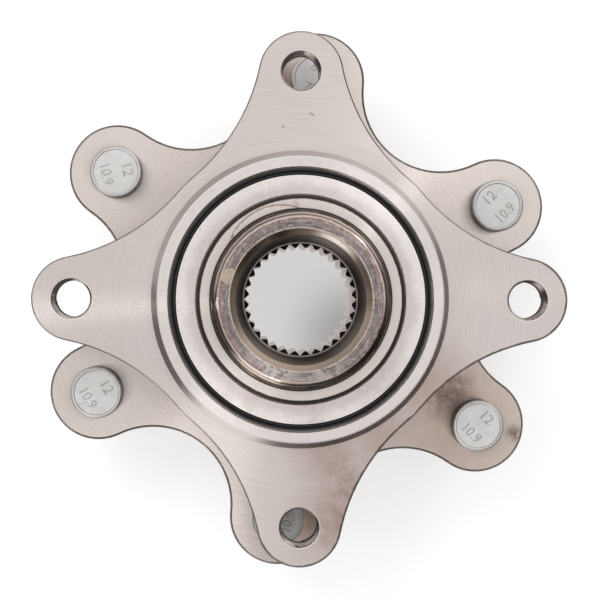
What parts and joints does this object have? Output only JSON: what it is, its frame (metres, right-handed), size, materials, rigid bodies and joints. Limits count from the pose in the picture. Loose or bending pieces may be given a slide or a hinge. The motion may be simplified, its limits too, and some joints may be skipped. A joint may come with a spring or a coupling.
{
  "type": "wheel hub bearing",
  "caption": "Driven wheel hub bearing: a lobed ring that bolts to the knuckle, and in it a splined spindle with a lobed wheel flange and pressed studs, turning on balls between seals.",
  "frame": {"origin": "on the bearing's axis, in the plane of the outer ring's face that seats on the knuckle", "axes": "+Z along the bearing's axis towards the vehicle's middle, where the drive shaft enters; +X and +Y through the knuckle bolt holes; the wheel lies on the -Z side"},
  "size_m": [0.1578, 0.1698, 0.112],
  "materials": {
    "turned_steel": "satin, fine turned",
    "forged_steel": "satin, turned over a forged blank",
    "bearing_steel": "ground",
    "zinc_plated_steel": "matte zinc",
    "cage_polymer": "moulded, glass filled",
    "stainless_sheet": "bright pressed sheet",
    "seal_rubber": "matte",
    "ball_steel": "polished"
  },
  "bodies": {
    "outer_ring": {"outer_ring": "turned_steel", "inboard_seal_case": "stainless_sheet", "inboard_seal_lip": "seal_rubber", "outboard_seal_case": "stainless_sheet", "outboard_seal_lip": "seal_rubber"},
    "hub": {"hub_spindle": "forged_steel", "inboard_inner_ring": "bearing_steel", "slinger": "stainless_sheet", "wheel_studs": "zinc_plated_steel"},
    "inboard_cage": {"inboard_cage": "cage_polymer"},
    "inboard_ball_01": {"inboard_ball_01": "ball_steel"},
    "inboard_ball_02": {"inboard_ball_02": "ball_steel"},
    "inboard_ball_03": {"inboard_ball_03": "ball_steel"},
    "inboard_ball_04": {"inboard_ball_04": "ball_steel"},
    "inboard_ball_05": {"inboard_ball_05": "ball_steel"},
    "inboard_ball_06": {"inboard_ball_06": "ball_steel"},
    "inboard_ball_07": {"inboard_ball_07": "ball_steel"},
    "inboard_ball_08": {"inboard_ball_08": "ball_steel"},
    "inboard_ball_09": {"inboard_ball_09": "ball_steel"},
    "inboard_ball_10": {"inboard_ball_10": "ball_steel"},
    "inboard_ball_11": {"inboard_ball_11": "ball_steel"},
    "inboard_ball_12": {"inboard_ball_12": "ball_steel"},
    "inboard_ball_13": {"inboard_ball_13": "ball_steel"},
    "inboard_ball_14": {"inboard_ball_14": "ball_steel"},
    "outboard_cage": {"outboard_cage": "cage_polymer"},
    "outboard_ball_01": {"outboard_ball_01": "ball_steel"},
    "outboard_ball_02": {"outboard_ball_02": "ball_steel"},
    "outboard_ball_03": {"outboard_ball_03": "ball_steel"},
    "outboard_ball_04": {"outboard_ball_04": "ball_steel"},
    "outboard_ball_05": {"outboard_ball_05": "ball_steel"},
    "outboard_ball_06": {"outboard_ball_06": "ball_steel"},
    "outboard_ball_07": {"outboard_ball_07": "ball_steel"},
    "outboard_ball_08": {"outboard_ball_08": "ball_steel"},
    "outboard_ball_09": {"outboard_ball_09": "ball_steel"},
    "outboard_ball_10": {"outboard_ball_10": "ball_steel"},
    "outboard_ball_11": {"outboard_ball_11": "ball_steel"},
    "outboard_ball_12": {"outboard_ball_12": "ball_steel"},
    "outboard_ball_13": {"outboard_ball_13": "ball_steel"},
    "outboard_ball_14": {"outboard_ball_14": "ball_steel"}
  },
  "joints": [
    {"name": "hub_spin", "type": "hinge", "parent": "outer_ring", "child": "hub", "pos_m": [0, 0, 0], "axis": [0, 0, 1], "continuous": true},
    {"name": "inboard_cage_spin", "type": "hinge", "parent": "outer_ring", "child": "inboard_cage", "pos_m": [0, 0, 0], "axis": [0, 0, 1], "continuous": true},
    {"name": "inboard_ball_01_spin", "type": "hinge", "parent": "inboard_cage", "child": "inboard_ball_01", "pos_m": [0.03175, 0, -0.006], "axis": [0.6428, 0, 0.766], "continuous": true},
    {"name": "inboard_ball_02_spin", "type": "hinge", "parent": "inboard_cage", "child": "inboard_ball_02", "pos_m": [0.02861, 0.01378, -0.006], "axis": [0.5791, 0.2789, 0.766], "continuous": true},
    {"name": "inboard_ball_03_spin", "type": "hinge", "parent": "inboard_cage", "child": "inboard_ball_03", "pos_m": [0.0198, 0.02483, -0.006], "axis": [0.4008, 0.5026, 0.766], "continuous": true},
    {"name": "inboard_ball_04_spin", "type": "hinge", "parent": "inboard_cage", "child": "inboard_ball_04", "pos_m": [0.00707, 0.03096, -0.006], "axis": [0.143, 0.6267, 0.766], "continuous": true},
    {"name": "inboard_ball_05_spin", "type": "hinge", "parent": "inboard_cage", "child": "inboard_ball_05", "pos_m": [-0.00707, 0.03096, -0.006], "axis": [-0.143, 0.6267, 0.766], "continuous": true},
    {"name": "inboard_ball_06_spin", "type": "hinge", "parent": "inboard_cage", "child": "inboard_ball_06", "pos_m": [-0.0198, 0.02483, -0.006], "axis": [-0.4008, 0.5026, 0.766], "continuous": true},
    {"name": "inboard_ball_07_spin", "type": "hinge", "parent": "inboard_cage", "child": "inboard_ball_07", "pos_m": [-0.02861, 0.01378, -0.006], "axis": [-0.5791, 0.2789, 0.766], "continuous": true},
    {"name": "inboard_ball_08_spin", "type": "hinge", "parent": "inboard_cage", "child": "inboard_ball_08", "pos_m": [-0.03175, 0, -0.006], "axis": [-0.6428, 0, 0.766], "continuous": true},
    {"name": "inboard_ball_09_spin", "type": "hinge", "parent": "inboard_cage", "child": "inboard_ball_09", "pos_m": [-0.02861, -0.01378, -0.006], "axis": [-0.5791, -0.2789, 0.766], "continuous": true},
    {"name": "inboard_ball_10_spin", "type": "hinge", "parent": "inboard_cage", "child": "inboard_ball_10", "pos_m": [-0.0198, -0.02483, -0.006], "axis": [-0.4008, -0.5026, 0.766], "continuous": true},
    {"name": "inboard_ball_11_spin", "type": "hinge", "parent": "inboard_cage", "child": "inboard_ball_11", "pos_m": [-0.00707, -0.03096, -0.006], "axis": [-0.143, -0.6267, 0.766], "continuous": true},
    {"name": "inboard_ball_12_spin", "type": "hinge", "parent": "inboard_cage", "child": "inboard_ball_12", "pos_m": [0.00707, -0.03096, -0.006], "axis": [0.143, -0.6267, 0.766], "continuous": true},
    {"name": "inboard_ball_13_spin", "type": "hinge", "parent": "inboard_cage", "child": "inboard_ball_13", "pos_m": [0.0198, -0.02483, -0.006], "axis": [0.4008, -0.5026, 0.766], "continuous": true},
    {"name": "inboard_ball_14_spin", "type": "hinge", "parent": "inboard_cage", "child": "inboard_ball_14", "pos_m": [0.02861, -0.01378, -0.006], "axis": [0.5791, -0.2789, 0.766], "continuous": true},
    {"name": "outboard_cage_spin", "type": "hinge", "parent": "outer_ring", "child": "outboard_cage", "pos_m": [0, 0, 0], "axis": [0, 0, 1], "continuous": true},
    {"name": "outboard_ball_01_spin", "type": "hinge", "parent": "outboard_cage", "child": "outboard_ball_01", "pos_m": [0.03175, 0, -0.0285], "axis": [-0.6428, 0, 0.766], "continuous": true},
    {"name": "outboard_ball_02_spin", "type": "hinge", "parent": "outboard_cage", "child": "outboard_ball_02", "pos_m": [0.02861, 0.01378, -0.0285], "axis": [-0.5791, -0.2789, 0.766], "continuous": true},
    {"name": "outboard_ball_03_spin", "type": "hinge", "parent": "outboard_cage", "child": "outboard_ball_03", "pos_m": [0.0198, 0.02483, -0.0285], "axis": [-0.4008, -0.5026, 0.766], "continuous": true},
    {"name": "outboard_ball_04_spin", "type": "hinge", "parent": "outboard_cage", "child": "outboard_ball_04", "pos_m": [0.00707, 0.03096, -0.0285], "axis": [-0.143, -0.6267, 0.766], "continuous": true},
    {"name": "outboard_ball_05_spin", "type": "hinge", "parent": "outboard_cage", "child": "outboard_ball_05", "pos_m": [-0.00707, 0.03096, -0.0285], "axis": [0.143, -0.6267, 0.766], "continuous": true},
    {"name": "outboard_ball_06_spin", "type": "hinge", "parent": "outboard_cage", "child": "outboard_ball_06", "pos_m": [-0.0198, 0.02483, -0.0285], "axis": [0.4008, -0.5026, 0.766], "continuous": true},
    {"name": "outboard_ball_07_spin", "type": "hinge", "parent": "outboard_cage", "child": "outboard_ball_07", "pos_m": [-0.02861, 0.01378, -0.0285], "axis": [0.5791, -0.2789, 0.766], "continuous": true},
    {"name": "outboard_ball_08_spin", "type": "hinge", "parent": "outboard_cage", "child": "outboard_ball_08", "pos_m": [-0.03175, 0, -0.0285], "axis": [0.6428, 0, 0.766], "continuous": true},
    {"name": "outboard_ball_09_spin", "type": "hinge", "parent": "outboard_cage", "child": "outboard_ball_09", "pos_m": [-0.02861, -0.01378, -0.0285], "axis": [0.5791, 0.2789, 0.766], "continuous": true},
    {"name": "outboard_ball_10_spin", "type": "hinge", "parent": "outboard_cage", "child": "outboard_ball_10", "pos_m": [-0.0198, -0.02483, -0.0285], "axis": [0.4008, 0.5026, 0.766], "continuous": true},
    {"name": "outboard_ball_11_spin", "type": "hinge", "parent": "outboard_cage", "child": "outboard_ball_11", "pos_m": [-0.00707, -0.03096, -0.0285], "axis": [0.143, 0.6267, 0.766], "continuous": true},
    {"name": "outboard_ball_12_spin", "type": "hinge", "parent": "outboard_cage", "child": "outboard_ball_12", "pos_m": [0.00707, -0.03096, -0.0285], "axis": [-0.143, 0.6267, 0.766], "continuous": true},
    {"name": "outboard_ball_13_spin", "type": "hinge", "parent": "outboard_cage", "child": "outboard_ball_13", "pos_m": [0.0198, -0.02483, -0.0285], "axis": [-0.4008, 0.5026, 0.766], "continuous": true},
    {"name": "outboard_ball_14_spin", "type": "hinge", "parent": "outboard_cage", "child": "outboard_ball_14", "pos_m": [0.02861, -0.01378, -0.0285], "axis": [-0.5791, 0.2789, 0.766], "continuous": true}
  ],
  "couplings": [
    {"joint": "inboard_cage_spin", "follows": "hub_spin", "ratio": 0.42819},
    {"joint": "inboard_ball_01_spin", "follows": "hub_spin", "ratio": -2.612},
    {"joint": "inboard_ball_02_spin", "follows": "hub_spin", "ratio": -2.612},
    {"joint": "inboard_ball_03_spin", "follows": "hub_spin", "ratio": -2.612},
    {"joint": "inboard_ball_04_spin", "follows": "hub_spin", "ratio": -2.612},
    {"joint": "inboard_ball_05_spin", "follows": "hub_spin", "ratio": -2.612},
    {"joint": "inboard_ball_06_spin", "follows": "hub_spin", "ratio": -2.612},
    {"joint": "inboard_ball_07_spin", "follows": "hub_spin", "ratio": -2.612},
    {"joint": "inboard_ball_08_spin", "follows": "hub_spin", "ratio": -2.612},
    {"joint": "inboard_ball_09_spin", "follows": "hub_spin", "ratio": -2.612},
    {"joint": "inboard_ball_10_spin", "follows": "hub_spin", "ratio": -2.612},
    {"joint": "inboard_ball_11_spin", "follows": "hub_spin", "ratio": -2.612},
    {"joint": "inboard_ball_12_spin", "follows": "hub_spin", "ratio": -2.612},
    {"joint": "inboard_ball_13_spin", "follows": "hub_spin", "ratio": -2.612},
    {"joint": "inboard_ball_14_spin", "follows": "hub_spin", "ratio": -2.612},
    {"joint": "outboard_cage_spin", "follows": "hub_spin", "ratio": 0.42819},
    {"joint": "outboard_ball_01_spin", "follows": "hub_spin", "ratio": -2.612},
    {"joint": "outboard_ball_02_spin", "follows": "hub_spin", "ratio": -2.612},
    {"joint": "outboard_ball_03_spin", "follows": "hub_spin", "ratio": -2.612},
    {"joint": "outboard_ball_04_spin", "follows": "hub_spin", "ratio": -2.612},
    {"joint": "outboard_ball_05_spin", "follows": "hub_spin", "ratio": -2.612},
    {"joint": "outboard_ball_06_spin", "follows": "hub_spin", "ratio": -2.612},
    {"joint": "outboard_ball_07_spin", "follows": "hub_spin", "ratio": -2.612},
    {"joint": "outboard_ball_08_spin", "follows": "hub_spin", "ratio": -2.612},
    {"joint": "outboard_ball_09_spin", "follows": "hub_spin", "ratio": -2.612},
    {"joint": "outboard_ball_10_spin", "follows": "hub_spin", "ratio": -2.612},
    {"joint": "outboard_ball_11_spin", "follows": "hub_spin", "ratio": -2.612},
    {"joint": "outboard_ball_12_spin", "follows": "hub_spin", "ratio": -2.612},
    {"joint": "outboard_ball_13_spin", "follows": "hub_spin", "ratio": -2.612},
    {"joint": "outboard_ball_14_spin", "follows": "hub_spin", "ratio": -2.612}
  ]
}
